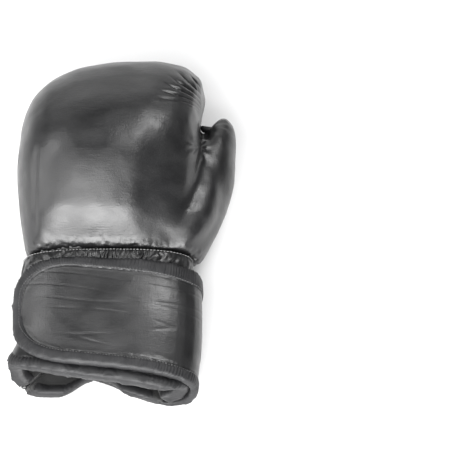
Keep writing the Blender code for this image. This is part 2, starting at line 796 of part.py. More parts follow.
def make_pivots():
    thumb = ["back_cover", "palm_cover", "foam", "lining", "tab"]
    pivot("thumb_flex", THUMB_FLEX, [f"thumb_{piece}" for piece in thumb])
    pivot("thumb_flap_fold", flap_fold(1), layers_of("thumb_flap"))
    pieces = [*layers_of("little_finger_flap"), "strap_anchor"]
    flap = pivot("little_finger_flap_fold", flap_fold(-1), pieces)
    palm = pivot("strap_palm_fold", strap_fold(STRAP_SEWN_ANGLE), strap_pieces("strap_palm"), flap)
    side = pivot("strap_side_fold", strap_fold(STRAP_LOW_ANGLE), strap_pieces("strap_side"), palm)
    pieces = [f"strap_{piece}" for piece in ("end_face", "end_core", "end_tape", "hook_patch")]
    pivot("strap_end_fold", strap_fold(STRAP_HIGH_ANGLE), pieces, side)


def make_glove():
    for old in list(bpy.data.objects):
        bpy.data.objects.remove(old)
    make_mitt()
    make_grip_bar()
    make_crease_tape()
    make_thumb()
    make_thumb_tab()
    make_cuff()
    make_hem_tapes()
    make_wrist()
    make_strap()
    make_pivots()


make_glove()
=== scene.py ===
"""Looks of a left-hand boxing glove: padded skins, binding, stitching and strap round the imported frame.

Frame: metres, +Z up through the back of the hand, +Y towards the knuckles, +X towards the thumb.
Sizes below are in millimetres where a name ends in _MM, and in metres otherwise.
"""

import json
import math

import bmesh
import bpy
import numpy as np
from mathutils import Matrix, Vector, noise
from mathutils.bvhtree import BVHTree


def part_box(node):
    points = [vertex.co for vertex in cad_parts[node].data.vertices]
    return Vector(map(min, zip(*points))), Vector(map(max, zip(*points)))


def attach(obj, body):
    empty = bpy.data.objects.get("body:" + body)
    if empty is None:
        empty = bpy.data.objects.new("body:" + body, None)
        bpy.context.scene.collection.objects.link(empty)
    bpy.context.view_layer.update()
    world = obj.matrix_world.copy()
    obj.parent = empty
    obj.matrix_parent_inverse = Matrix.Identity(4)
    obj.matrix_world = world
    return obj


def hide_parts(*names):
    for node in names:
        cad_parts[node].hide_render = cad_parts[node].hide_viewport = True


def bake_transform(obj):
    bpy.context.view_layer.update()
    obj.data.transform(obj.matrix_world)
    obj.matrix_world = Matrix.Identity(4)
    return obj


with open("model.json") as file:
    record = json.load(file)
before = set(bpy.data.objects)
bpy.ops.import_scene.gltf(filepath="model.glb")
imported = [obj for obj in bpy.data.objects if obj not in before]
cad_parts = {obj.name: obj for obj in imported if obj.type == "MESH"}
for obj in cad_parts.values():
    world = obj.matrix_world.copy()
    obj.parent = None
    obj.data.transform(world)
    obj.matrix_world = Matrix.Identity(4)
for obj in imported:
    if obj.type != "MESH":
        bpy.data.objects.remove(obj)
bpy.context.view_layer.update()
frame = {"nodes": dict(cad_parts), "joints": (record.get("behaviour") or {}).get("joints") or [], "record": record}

NODES = frame["nodes"]
BODY_OF = {n: b for b, names in frame["record"]["behaviour"]["bodies"].items() for n in names}
JOINTS = {joint["name"]: joint for joint in frame["joints"]}
MM = 0.001

# Skins: voxel sizes, how far the pressure may swell them, and the leather's thickness.
MITT_VOXEL = 3.2 * MM
CUFF_VOXEL = 2.0 * MM
STRAP_VOXEL = 1.6 * MM
SWELL_CAP = 2.2 * MM
LEATHER = 1.2 * MM
# Skins stay this far above the surface that the glove lies on.
REST_GAP = 0.05 * MM

# The cuff's own direction: it leans away from the thumb by this much.
CUFF_TURN = math.radians(7.0)
CUFF_AXIS = Vector((-math.sin(CUFF_TURN), -math.cos(CUFF_TURN), 0.0))
CUFF_SIDE = Vector((math.cos(CUFF_TURN), -math.sin(CUFF_TURN), 0.0))

VIEW_TILT = math.radians(25.0)
VIEW_UP = Vector((0, math.cos(VIEW_TILT), math.sin(VIEW_TILT)))
VIEW_BACK = Vector((0, -math.sin(VIEW_TILT), math.cos(VIEW_TILT)))


# ---------------------------------------------------------------- mesh tools


def eased(t):
    t = np.clip(t, 0.0, 1.0)
    return t * t * (3 - 2 * t)


def window(value, start, rise, stop, fall):
    """1 between two places, rising smoothly after the first and falling smoothly after the second."""
    return eased((value - start) / rise) * (1 - eased((value - stop) / fall))


def welded(names, moved=None):
    """One bmesh of copies of these nodes, with their split corners joined again, and moved by a function."""
    made = bmesh.new()
    for name in names:
        first = len(made.verts)
        made.from_mesh(NODES[name].data)
        made.verts.ensure_lookup_table()
        for vertex in made.verts[first:] if moved else ():
            vertex.co += moved(vertex.co, name)
    bmesh.ops.remove_doubles(made, verts=made.verts, dist=5e-6)
    return made


def object_from(shape, name):
    mesh = bpy.data.meshes.new(name)
    shape.to_mesh(mesh)
    shape.free()
    made = bpy.data.objects.new(name, mesh)
    bpy.context.scene.collection.objects.link(made)
    return made


def applied(piece):
    """The piece with its modifiers worked into its mesh."""
    graph = bpy.context.evaluated_depsgraph_get()
    mesh = bpy.data.meshes.new_from_object(piece.evaluated_get(graph))
    piece.modifiers.clear()
    piece.data = mesh
    return piece


def modified(piece, kind, **settings):
    change = piece.modifiers.new(kind.title(), kind)
    for key, value in settings.items():
        setattr(change, key, value)
    return change


def remeshed(piece, voxel, smoothing=4):
    modified(piece, "REMESH", mode="VOXEL", voxel_size=voxel, use_smooth_shade=True)
    if smoothing:
        modified(piece, "SMOOTH", factor=0.5, iterations=smoothing)
    return applied(piece)


def subdivided(piece, levels):
    if levels:
        modified(piece, "SUBSURF", levels=levels, render_levels=levels)
        applied(piece)
    return piece


def corners(piece):
    co = np.empty(len(piece.data.vertices) * 3, np.float32)
    piece.data.vertices.foreach_get("co", co)
    return co.reshape(-1, 3).astype(float)


def normals(piece):
    found = np.empty(len(piece.data.vertices) * 3, np.float32)
    piece.data.vertex_normals.foreach_get("vector", found)
    return found.reshape(-1, 3).astype(float)


def place_corners(piece, co):
    piece.data.vertices.foreach_set("co", co.astype(np.float32).ravel())
    piece.data.update()


def tree_of(names, moved=None):
    shape = welded(names, moved)
    tree = BVHTree.FromBMesh(shape)
    shape.free()
    return tree


def distances(points, tree):
    return np.array([tree.find_nearest(Vector(p))[3] for p in points])


def largest_part(piece):
    """Drops everything but the biggest connected sheet, such as bubbles left inside."""
    shape = bmesh.new()
    shape.from_mesh(piece.data)
    left, parts = set(shape.verts), []
    while left:
        part, edge = set(), [left.pop()]
        while edge:
            here = edge.pop()
            part.add(here)
            near = [e.other_vert(here) for e in here.link_edges]
            edge += [v for v in near if v in left]
            left.difference_update(near)
        parts.append(part)
    keep = max(parts, key=len)
    bmesh.ops.delete(shape, geom=[v for v in shape.verts if v not in keep], context="VERTS")
    shape.to_mesh(piece.data)
    shape.free()
    return piece


def split_by(piece, labels, names):
    """Separate objects of the faces with each label. labels holds one number per face."""
    made = {}
    for label, name in enumerate(names):
        if not (labels == label).any():
            continue
        shape = bmesh.new()
        shape.from_mesh(piece.data)
        shape.faces.ensure_lookup_table()
        drop = [f for f, own in zip(shape.faces, labels) if own != label]
        bmesh.ops.delete(shape, geom=drop, context="FACES")
        made[name] = object_from(shape, name)
        made[name].data.shade_smooth()
    bpy.data.objects.remove(piece)
    return made


def face_labels(piece, vertex_labels):
    """Each face takes the label that most of its corners have."""
    return np.array([np.bincount(vertex_labels[list(f.vertices)]).argmax() for f in piece.data.polygons])


def nearest_of(points, groups):
    """Which group of nodes lies nearest to each point, and each group's distance."""
    found = np.array([distances(points, tree_of(names)) for names in groups])
    return found.argmin(0), found


def lofted(shape, rings):
    """Joins a row of rings into a closed tube."""
    for a, b in zip(rings, rings[1:]):
        for k in range(len(a)):
            n = (k + 1) % len(a)
            shape.faces.new((a[k], a[n], b[n], b[k]))
    shape.faces.new(rings[0][::-1])
    shape.faces.new(rings[-1])


def noisy(points, scale, offset=0.0):
    return np.array([noise.noise(Vector(p) / scale + Vector((offset,) * 3)) for p in points])


def thickened(piece, depth):
    modified(piece, "SOLIDIFY", thickness=depth, offset=-1.0)
    return applied(piece)


def swollen(piece, pressure, held, cap):
    """The piece after a short cloth simulation under air pressure. Its held corners stay put."""
    start = corners(piece)
    group = piece.vertex_groups.new(name="held")
    for index, weight in enumerate(held):
        if weight > 0.01:
            group.add([index], float(weight), "REPLACE")
    cloth = modified(piece, "CLOTH").settings
    cloth.quality = 5
    cloth.mass = 0.3
    cloth.tension_stiffness = 25
    cloth.compression_stiffness = 25
    cloth.bending_stiffness = 6
    cloth.use_pressure = True
    cloth.uniform_pressure_force = pressure
    cloth.effector_weights.gravity = 0.0
    cloth.vertex_group_mass = "held"
    for number in range(1, 21):
        bpy.context.scene.frame_set(number)
    applied(piece)
    bpy.context.scene.frame_set(1)
    moved = corners(piece) - start
    size = np.linalg.norm(moved, axis=1, keepdims=True)
    moved *= np.minimum(1.0, cap / np.maximum(size, 1e-9))
    place_corners(piece, start + moved)
    return piece


# ---------------------------------------------------------------- materials


class Shader:
    """A Principled material and short ways to add texture nodes to it."""

    def __init__(self, name, colour, roughness, sheen=0.0, specular=0.5):
        self.material = bpy.data.materials.new(name)
        self.material.use_nodes = True
        self.nodes = self.material.node_tree.nodes
        self.links = self.material.node_tree.links
        self.surface = self.nodes["Principled BSDF"]
        self.surface.inputs["Base Color"].default_value = (*colour, 1)
        self.surface.inputs["Roughness"].default_value = roughness
        self.surface.inputs["Specular IOR Level"].default_value = specular
        self.surface.inputs["Sheen Weight"].default_value = sheen
        self.surface.inputs["Sheen Roughness"].default_value = 0.5
        self.place = self.nodes.new("ShaderNodeTexCoord").outputs["Object"]
        self.normal = None

    def mapped(self, scale=(1, 1, 1), turn=(0, 0, 0)):
        node = self.nodes.new("ShaderNodeMapping")
        node.inputs["Scale"].default_value = scale
        node.inputs["Rotation"].default_value = turn
        self.links.new(self.place, node.inputs["Vector"])
        return node.outputs["Vector"]

    def noise(self, scale, detail=3.0, stretch=(1, 1, 1), turn=(0, 0, 0)):
        node = self.nodes.new("ShaderNodeTexNoise")
        node.inputs["Scale"].default_value = scale
        node.inputs["Detail"].default_value = detail
        self.links.new(self.mapped(stretch, turn), node.inputs["Vector"])
        return node.outputs["Fac"]

    def cells(self, scale, stretch=(1, 1, 1)):
        node = self.nodes.new("ShaderNodeTexVoronoi")
        node.inputs["Scale"].default_value = scale
        self.links.new(self.mapped(stretch), node.inputs["Vector"])
        return node.outputs["Distance"]

    def waves(self, scale, direction="X", distortion=0.5, turn=(0, 0, 0)):
        node = self.nodes.new("ShaderNodeTexWave")
        node.bands_direction = direction
        node.inputs["Scale"].default_value = scale
        node.inputs["Distortion"].default_value = distortion
        node.inputs["Detail"].default_value = 1.0
        self.links.new(self.mapped(turn=turn), node.inputs["Vector"])
        return node.outputs["Fac"]

    def product(self, first, second):
        node = self.nodes.new("ShaderNodeMath")
        node.operation = "MULTIPLY"
        self.links.new(first, node.inputs[0])
        self.links.new(second, node.inputs[1])
        return node.outputs[0]

    def bump(self, height, depth, strength=1.0):
        node = self.nodes.new("ShaderNodeBump")
        node.inputs["Distance"].default_value = depth
        node.inputs["Strength"].default_value = strength
        self.links.new(height, node.inputs["Height"])
        if self.normal:
            self.links.new(self.normal, node.inputs["Normal"])
        self.normal = node.outputs["Normal"]
        self.links.new(self.normal, self.surface.inputs["Normal"])

    def ramp(self, factor, socket, low, high, start=0.3, end=0.7):
        """Drives a colour or a number between two values."""
        node = self.nodes.new("ShaderNodeValToRGB")
        first, last = node.color_ramp.elements
        first.position, last.position = start, end
        first.color = (*low, 1) if isinstance(low, tuple) else (low, low, low, 1)
        last.color = (*high, 1) if isinstance(high, tuple) else (high, high, high, 1)
        self.links.new(factor, node.inputs["Fac"])
        self.links.new(node.outputs["Color"], self.surface.inputs[socket])


def vinyl(name, tone=0.006, gloss=0.35):
    """Grained black synthetic leather: woven backing shows through as fine ribs."""
    made = Shader(name, (tone, tone, tone * 1.08), gloss, specular=0.7)
    low = (tone * 0.8, tone * 0.8, tone * 0.84)
    high = (tone * 1.5, tone * 1.5, tone * 1.6)
    made.ramp(made.noise(28, 6), "Base Color", low, high)
    made.ramp(made.noise(45, 8, (1, 1.6, 1)), "Roughness", gloss - 0.05, gloss + 0.10)
    made.bump(made.noise(60, 5, (1, 1.5, 1)), 0.4 * MM, 0.6)
    made.bump(made.cells(1100), 0.06 * MM, 0.6)
    made.bump(made.noise(420, 3, (0.3, 2.2, 2.2)), 0.12 * MM, 0.7)
    made.bump(made.noise(420, 3, (2.2, 0.3, 2.2)), 0.10 * MM, 0.6)
    return made.material


def binding(name):
    """Folded tape with a dull, fine cross weave."""
    made = Shader(name, (0.008, 0.008, 0.009), 0.5, sheen=0.02, specular=0.38)
    made.ramp(made.noise(120, 5), "Base Color", (0.005, 0.005, 0.006), (0.014, 0.014, 0.015))
    made.ramp(made.noise(90, 4), "Roughness", 0.42, 0.6)
    made.bump(made.noise(500, 3, (2.5, 0.6, 1)), 0.18 * MM, 0.7)
    made.bump(made.cells(1600), 0.05 * MM, 0.5)
    return made.material


def weave(name, tone, sheen, scale=420):
    made = Shader(name, (tone, tone, tone * 1.05), 0.72, sheen=sheen, specular=0.3)
    cloth = made.product(made.waves(scale, "X"), made.waves(scale, "Y"))
    made.ramp(cloth, "Base Color", (tone * 0.5,) * 3, (tone * 1.5,) * 3, 0.1, 0.8)
    made.ramp(made.noise(80, 4), "Roughness", 0.6, 0.85)
    made.bump(cloth, 0.15 * MM, 0.7)
    made.bump(made.noise(90, 4), 0.4 * MM, 0.4)
    return made.material


def foam(name, tone):
    made = Shader(name, (tone, tone, tone), 0.9, specular=0.2)
    made.ramp(made.cells(500), "Base Color", (tone * 0.6,) * 3, (tone * 1.2,) * 3, 0.1, 0.6)
    made.ramp(made.noise(200, 3), "Roughness", 0.8, 0.95)
    made.bump(made.cells(700), 0.3 * MM, 0.8)
    return made.material


def pile(name):
    made = Shader(name, (0.012, 0.012, 0.013), 0.95, sheen=0.4, specular=0.2)
    made.ramp(made.noise(900, 4), "Base Color", (0.006,) * 3, (0.035, 0.035, 0.036))
    made.ramp(made.noise(300, 2), "Roughness", 0.85, 1.0)
    made.bump(made.noise(1500, 4), 0.5 * MM, 1.0)
    return made.material


def twist(name, tone):
    made = Shader(name, (tone, tone, tone), 0.55, sheen=0.15)
    made.ramp(made.noise(600, 2), "Base Color", (tone * 0.6,) * 3, (tone * 1.3,) * 3)
    made.ramp(made.noise(400, 2), "Roughness", 0.45, 0.7)
    made.bump(made.waves(900, "DIAGONAL", 0.2), 0.1 * MM, 0.8)
    return made.material


LOOKS = {
    "black_vinyl": vinyl("black_vinyl"),
    "palm_vinyl": vinyl("palm_vinyl", 0.007, 0.40),
    "binding_tape": binding("binding_tape"),
    "lining": weave("lining", 0.022, 0.15),
    "foam": foam("foam", 0.2),
    "dense_foam": foam("dense_foam", 0.09),
    "strap_core": weave("strap_core", 0.09, 0.1, 300),
    "hook_and_loop": pile("hook_and_loop"),
    "thread": twist("thread", 0.30),
}
DARK_THREAD = twist("dark_thread", 0.055)


def dressed(piece, slot, material=None):
    piece.data.materials.clear()
    piece.data.materials.append(material or LOOKS[slot])
    return piece


# ---------------------------------------------------------------- the cuff's chart


CUFF_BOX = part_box("cuff_lining")
CUFF_CENTRE = (CUFF_BOX[0] + CUFF_BOX[1]) / 2
CUFF_CENTRE.z = 36 * MM
STRAP_LOOK_FROM = 0.25


def chart(points):
    """Distance along the cuff from its middle towards the hem, and angle round it, of each point."""
    away = points - np.array(CUFF_CENTRE)
    along = away @ np.array(CUFF_AXIS)
    return along, np.arctan2(away[:, 2], away @ np.array(CUFF_SIDE))


def on_surface(tree, along, angle):
    """Outermost point of a surface round the cuff, and its normal."""
    out = CUFF_SIDE * math.cos(angle) + Vector((0, 0, math.sin(angle)))
    start = CUFF_CENTRE + CUFF_AXIS * along + out * STRAP_LOOK_FROM
    place, normal, _, _ = tree.ray_cast(start, -out)
    return place, normal


# ---------------------------------------------------------------- mitt and thumb


TAB = sum(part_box("thumb_tab"), Vector()) / 2
WRIST_END_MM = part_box("back_cover")[0].y / MM
PLEAT_POLE = TAB + Vector((-1.0, 2.0, 0.0)) * MM
PUCKER_POLE = TAB + Vector((-7.5, -24.0, 6.0)) * MM
SIDE_CREASE = Vector((-66.5, 20.0, 60.0)) * MM
PANELS = {
    "back_panel": ("back_cover", "thumb_back_cover"),
    "palm_panel": ("palm_cover",),
    "finger_panel": ("grip_cover", "crease_tape"),
    "thumb_palm_panel": ("thumb_palm_cover",),
}
# The filling's rings: y, then x and z of the middle, half width and half height.
WEB_MM = (
    (-27, 44, 48, 9, 11),
    (-16, 47, 52, 16, 15),
    (0, 54, 55, 19, 16),
    (20, 60, 55, 18, 15),
    (38, 63, 54, 16, 14),
    (50, 64, 53, 13, 13),
    (59, 64, 51, 10, 10),
    (66, 65, 44, 8, 8),
    (76, 67, 40, 8, 6),
    (86, 68, 38, 5, 4),
)
WEB_CORNERS = 20
# The slit between fist and thumb: its plane, where it starts along y, and how far each side parts.
SLIT_X_MM, SLIT_FROM_MM, FIST_PARTS_MM, THUMB_PARTS_MM = 67.0, 60.0, 4.0, 4.6
# The hollow between the fist's slope and the thumb: depth, and its middle and width across.
HOLLOW_MM, HOLLOW_X_MM, HOLLOW_WIDE_MM = 8.5, 31.0, 20.0
# How much the padding's end is drawn down to the wrist seam.
WRIST_DROP_MM = 5.0
# Smoothing passes after the form is drawn back to the covers: everywhere, and on the broad back of the fist.
LAST_SMOOTHING = 3
BROAD_SMOOTHING = 24
SEAM_DEPTH_MM = 0.9
SEAM_WIDTH_MM = 1.6


def in_view(points, pole):
    """Places across and up the view, from a pole, in millimetres."""
    away = (points - np.array(pole)) / MM
    return away[:, 0], away @ np.array(VIEW_UP)


def wrist_section():
    """Middle and half sizes, in x and z, of the lining's opening at the wrist."""
    spots = np.array([v.co for v in NODES["hand_lining"].data.vertices])
    spots = spots[spots[:, 1] < spots[:, 1].min() + 1 * MM][:, [0, 2]]
    low, high = spots.min(0), spots.max(0)
    return (low + high) / 2, (high - low) / 2


def wrist_plug():
    """A lid over the wrist's opening, so that the mitt becomes one filled form."""
    middle, half = wrist_section()
    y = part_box("hand_lining")[0].y + 1 * MM
    shape = bmesh.new()
    bmesh.ops.create_cone(shape, cap_ends=True, segments=40, radius1=1, radius2=1, depth=3 * MM)
    for vertex in shape.verts:
        x, z, thick = vertex.co
        vertex.co = (middle[0] + x * (half[0] + 1.5 * MM), y - thick, middle[1] + z * (half[1] + 1.5 * MM))
    bmesh.ops.recalc_face_normals(shape, faces=shape.faces)
    return shape


def web():
    """Filling between mitt and thumb, over which the back panel runs on without a seam."""
    shape = bmesh.new()
    rings = []
    for y, x, z, across, high in WEB_MM:
        ring = []
        for k in range(WEB_CORNERS):
            a = math.tau * k / WEB_CORNERS
            spot = Vector((x + across * math.cos(a), y, z + high * math.sin(a))) * MM
            ring.append(shape.verts.new(spot))
        rings.append(ring)
    lofted(shape, rings)
    bmesh.ops.recalc_face_normals(shape, faces=shape.faces)
    return shape


def drawn_back(piece, tree, share, most, spared):
    """Moves corners part of the way to a surface that smoothing took them from, away from what is spared."""
    co = corners(piece)
    target = np.array([tree.find_nearest(Vector(p))[0] for p in co])
    away = target - co
    size = np.linalg.norm(away, axis=1, keepdims=True)
    keep = 1 - eased((size - most * 0.6) / (most * 0.8))
    keep *= eased((distances(co, spared)[:, None] - 2 * MM) / (5 * MM))
    place_corners(piece, co + away * share * keep)


def shaped(spot, node):
    """How far a point of the mitt moves: apart at the slit, down in the hollow and at the wrist's end."""
    x, y, z = spot / MM
    reach = window(y, SLIT_FROM_MM, 10, 100, 14) * eased((z - 14) / 14)
    if node.startswith("thumb"):
        reach *= 1 - eased((y - 77) / 13)
        sideways = THUMB_PARTS_MM * reach * (1 - eased((x - SLIT_X_MM) / 21))
    else:
        sideways = -FIST_PARTS_MM * reach * (1 - eased((SLIT_X_MM - x) / 22))
    middle = HOLLOW_X_MM + 0.25 * max(y, 0)
    length = window(y, -30, 12, 15, 45)
    hollow = HOLLOW_MM * math.exp(-(((x - middle) / HOLLOW_WIDE_MM) ** 2)) * length
    from_wrist = y - WRIST_END_MM
    drop = WRIST_DROP_MM * eased(from_wrist / 5) * (1 - eased((from_wrist - 6) / 18))
    upper = float(np.clip((z - 58) / 20, 0, 1))
    return Vector((sideways, 0, -(hollow + drop) * upper)) * MM


def mitt_form():
    """Mitt and thumb as one filled form."""
    names = ["back_cover", "outer_foam", "inner_foam", "palm_cover", "palm_foam", "grip_cover"]
    names += ["finger_foam", "hand_lining", "crease_tape", "thumb_back_cover", "thumb_palm_cover"]
    names += ["thumb_foam", "thumb_lining"]
    shape = welded(names, shaped)
    for extra in (wrist_plug(), web()):
        mesh = bpy.data.meshes.new("extra")
        extra.to_mesh(mesh)
        extra.free()
        shape.from_mesh(mesh)
    form = object_from(shape, "mitt_form")
    largest_part(remeshed(form, MITT_VOXEL, 6))
    filling = web()
    spared = BVHTree.FromBMesh(filling)
    filling.free()
    covers = tree_of([n for names in PANELS.values() for n in names], shaped)
    drawn_back(form, covers, 0.85, 4.5 * MM, spared)
    modified(form, "SMOOTH", factor=0.5, iterations=LAST_SMOOTHING)
    applied(form)
    co = corners(form)
    broad = 1 - eased((co[:, 0] - 30 * MM) / (25 * MM))
    broad *= eased((co[:, 1] - (WRIST_END_MM + 4) * MM) / (16 * MM))
    group = form.vertex_groups.new(name="broad")
    for index, weight in enumerate(broad):
        group.add([index], float(weight), "REPLACE")
    modified(form, "SMOOTH", factor=0.5, iterations=BROAD_SMOOTHING, vertex_group="broad")
    return applied(form)


# Pleats: depth, degrees from one to the next, and how narrow the valleys are. They start where the surface
# faces far enough upwards, and grow over the range given last.
PLEAT_DEPTH_MM = 3.0
PLEAT_TURN = 9.0
PLEAT_SHARPNESS = 0.55
PLEATS_FACING = (0.2, 0.4)


def pleat_heights(points):
    """Folds that fan out from the thumb's root over the corner of the fist."""
    across, up = in_view(points, PLEAT_POLE)
    r = np.hypot(across, up)
    turn = np.degrees(np.arctan2(up, across)) - 0.75 * np.clip(r - 12, 0, None) - 88
    wave = np.abs(np.sin(np.pi * (turn + 3.0 * np.sin(r / 7.0)) / PLEAT_TURN)) ** PLEAT_SHARPNESS
    reach = window(r, 1, 7, 26, 24)
    sector = window(turn, -14, 10, 34, 22)
    return (wave - 0.75) * PLEAT_DEPTH_MM * reach * sector


def pucker_heights(points):
    """Small radial puckers under the corner between fist and thumb."""
    across, up = in_view(points, PUCKER_POLE)
    r = np.hypot(across, up)
    turn = np.arctan2(up, across)
    return 0.45 * np.sin(7 * turn) * eased(r / 3) * (1 - eased((r - 4) / 9)) * (points[:, 2] > 20 * MM)


def side_crease(points):
    """A long soft fold down the back, near its little-finger edge."""
    across, up = in_view(points, SIDE_CREASE)
    length = window(up, -36, 14, 26, 18)
    return -0.9 * np.exp(-(((across - 0.03 * up) / 2.4) ** 2)) * length * (points[:, 2] > 45 * MM)


def mitt_skin():
    form = mitt_form()
    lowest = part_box("back_cover")[0].y
    co = corners(form)
    held = 1 - eased((co[:, 1] - lowest) / (14 * MM))
    held = np.maximum(held, 1 - eased((co[:, 2] - 8 * MM) / (12 * MM)))
    swollen(form, 4.0, held, SWELL_CAP)
    subdivided(form, 2)

    co, out = corners(form), normals(form)
    labels, apart = nearest_of(co, PANELS.values())
    pair = np.sort(apart, axis=0)[:2] / MM
    seam = np.exp(-(((pair[1] - pair[0]) / SEAM_WIDTH_MM) ** 2)) * (pair[1] < 6)
    height = -SEAM_DEPTH_MM * seam
    facing = eased((out @ np.array(VIEW_BACK) - PLEATS_FACING[0]) / PLEATS_FACING[1])
    height += (pleat_heights(co) + pucker_heights(co)) * facing + side_crease(co)
    height += 0.7 * noisy(co, 42 * MM) + 0.12 * noisy(co, 9 * MM, 5.0)
    by_wrist = 1 - eased((co[:, 1] - lowest) / (8 * MM))
    height += 0.5 * noisy(co * (1.0, 0.25, 1.0), 3.2 * MM, 2.0) * by_wrist
    co += out * (height * MM)[:, None]
    co[:, 2] = np.maximum(co[:, 2], REST_GAP)
    place_corners(form, co)

    labels = face_labels(form, labels)
    middles = np.array([f.center for f in form.data.polygons])
    facing = np.array([f.normal for f in form.data.polygons])
    middle, half = wrist_section()
    away = (middles[:, [0, 2]] - middle) / half
    in_opening = np.hypot(away[:, 0], away[:, 1]) < 1.0
    at_end = middles[:, 1] < lowest + 6 * MM
    labels[in_opening & at_end & (facing[:, 1] < -0.5)] = len(PANELS)
    return split_by(form, labels, list(PANELS))


def across_thumb(piece):
    """Works the skin's placement into its mesh."""
    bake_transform(piece)


def make_mitt():
    panels = mitt_skin()
    stands_for = {
        "back_panel": ("back_cover", "thumb_back_cover"),
        "palm_panel": ("palm_cover",),
        "finger_panel": ("grip_cover", "crease_tape"),
        "thumb_palm_panel": ("thumb_palm_cover",),
    }
    for name, panel in panels.items():
        thickened(panel, LEATHER)
        dressed(panel, "black_vinyl" if name == "back_panel" else "palm_vinyl")
        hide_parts(*stands_for[name])
        across_thumb(panel)


# ---------------------------------------------------------------- pieces kept at the frame's shape


REFINED = {
    "hand_lining": 1,
    "thumb_lining": 1,
    "grip_bar": 2,
    "outer_foam": 1,
    "inner_foam": 1,
    "palm_foam": 0,
    "finger_foam": 0,
    "thumb_foam": 1,
    "thumb_tab": 2,
    "cuff_loop_patch": 2,
    "strap_hook_patch": 2,
}
# These foams follow the mitt's skin where it leaves the frame.
SHAPED = ("outer_foam", "inner_foam", "thumb_foam")
# The tab is drawn wider than its solid, and towards fist and wrist, so that it bridges the slit.
TAB_GROWN = (4.6, 4.5, 0.9)
TAB_MOVED_MM = (-1.4, -4.0, 0.0)
SLOTS = {row["node"]: row["material_slot"] for row in frame["record"]["subparts"]}


def refine(name, levels):
    shape = welded([name], shaped if name in SHAPED else None)
    if name == "thumb_tab":
        for vertex in shape.verts:
            away = vertex.co - TAB
            x, y, z = (a * grown + moved * MM for a, grown, moved in zip(away, TAB_GROWN, TAB_MOVED_MM))
            vertex.co = TAB + Vector((x, y, z))
    flat = math.radians(30)
    bmesh.ops.join_triangles(shape, faces=shape.faces, angle_face_threshold=flat, angle_shape_threshold=flat)
    piece = object_from(shape, f"{name}_soft")
    subdivided(piece, levels)
    piece.data.shade_smooth()
    co, out = corners(piece), normals(piece)
    place_corners(piece, co + out * (0.12 * MM * noisy(co, 6 * MM))[:, None])
    dressed(piece, SLOTS[name])
    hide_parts(name)
    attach(piece, BODY_OF[name])
    return piece


def make_refined():
    for name, levels in REFINED.items():
        if levels:
            piece = refine(name, levels)
        else:
            NODES[name].data.materials.clear()
            NODES[name].data.materials.append(LOOKS[SLOTS[name]])


# ---------------------------------------------------------------- cuff and flaps


# The roll along the flap's fold: where it starts and stops towards the hem, its rings and their corners, how far
# it laps over both sides, and its largest radius.
GUSSET_MM = (-8.0, 56.0)
GUSSET_RINGS = 24
GUSSET_CORNERS = 12
GUSSET_OVER = 1.2 * MM
GUSSET_MOST = 4.5 * MM


def ribs(points, along, pitch_mm, deep_mm):
    """Crosswise ribs of a gathered tape, uneven in height and spacing."""
    shake = 0.8 * noisy(points, 9 * MM, 3.0)
    swell = 0.65 + 0.5 * noisy(points, 14 * MM, 8.0)
    return deep_mm * swell * np.sin(math.tau * along / pitch_mm + 2.2 * shake)


def padded_shell(prefix, names, parts):
    """A cuff panel made from its cover, foam, lining and hem tape, with small bumps, ribs on its tape and grooves
    at its seams, and split by material.
    """
    form = object_from(welded(names), prefix)
    largest_part(remeshed(form, CUFF_VOXEL, 5))
    subdivided(form, 1)
    co, out = corners(form), normals(form)
    labels, apart = nearest_of(co, parts.values())
    angle = chart(co)[1]
    tape = labels == list(parts).index(f"{prefix}_binding")
    height = 0.35 * noisy(co, 20 * MM, 2.0) + 0.12 * noisy(co, 6 * MM, 4.0)
    height += np.where(tape, ribs(co, angle * 70, 2.4, 0.28), 0.0)
    pair = np.sort(apart, axis=0)[:2] / MM
    height -= 0.5 * np.exp(-((pair[1] - pair[0]) ** 2)) * (pair[1] < 3)
    co += out * (height * MM)[:, None]
    co[:, 2] = np.maximum(co[:, 2], REST_GAP)
    place_corners(form, co)
    return split_by(form, face_labels(form, labels), list(parts))


def make_gusset():
    """A soft roll that bridges the cuff and the little-finger flap along the flap's fold."""
    joint = JOINTS["little_finger_flap_fold"]
    line = Vector(joint["axis"]).normalized()
    sides = [
        tree_of([f"{name}_cover", f"{name}_foam", f"{name}_lining", f"{name}_hem_tape"])
        for name in ("cuff", "little_finger_flap")
    ]
    shape = bmesh.new()
    rings = []
    first, last = GUSSET_MM
    for step in np.linspace(first, last, GUSSET_RINGS):
        spot = Vector(joint["pos_m"]) - line * step * MM
        near, far = (tree.find_nearest(spot)[0] for tree in sides)
        middle = (near + far) / 2
        radius = min((near - far).length / 2 + GUSSET_OVER, GUSSET_MOST)
        side = line.cross(Vector((0, 0, 1))).normalized()
        ring = []
        for k in range(GUSSET_CORNERS):
            a = math.tau * k / GUSSET_CORNERS
            corner = middle + (side * math.cos(a) + Vector((0, 0, math.sin(a)))) * radius
            corner.z = max(corner.z, REST_GAP)
            ring.append(shape.verts.new(corner))
        rings.append(ring)
    lofted(shape, rings)
    bmesh.ops.recalc_face_normals(shape, faces=shape.faces)
    piece = object_from(shape, "little_finger_gusset")
    piece.data.shade_smooth()
    dressed(piece, "black_vinyl")
    middle = Vector(joint["pos_m"])
    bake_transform(piece)


def make_cuff():
    for prefix in ("cuff", "little_finger_flap", "thumb_flap"):
        names = [f"{prefix}_{layer}" for layer in ("cover", "foam", "lining", "hem_tape")]
        parts = {
            f"{prefix}_outside": names[:1],
            f"{prefix}_edge_foam": names[1:2],
            f"{prefix}_inside": names[2:3],
            f"{prefix}_binding": names[3:],
        }
        slots = dict(zip(parts, ("black_vinyl", "lining", "lining", "binding_tape")))
        for name, piece in padded_shell(prefix, names, parts).items():
            dressed(piece, slots[name])
            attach(piece, BODY_OF[names[0]])
            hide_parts(*parts[name])


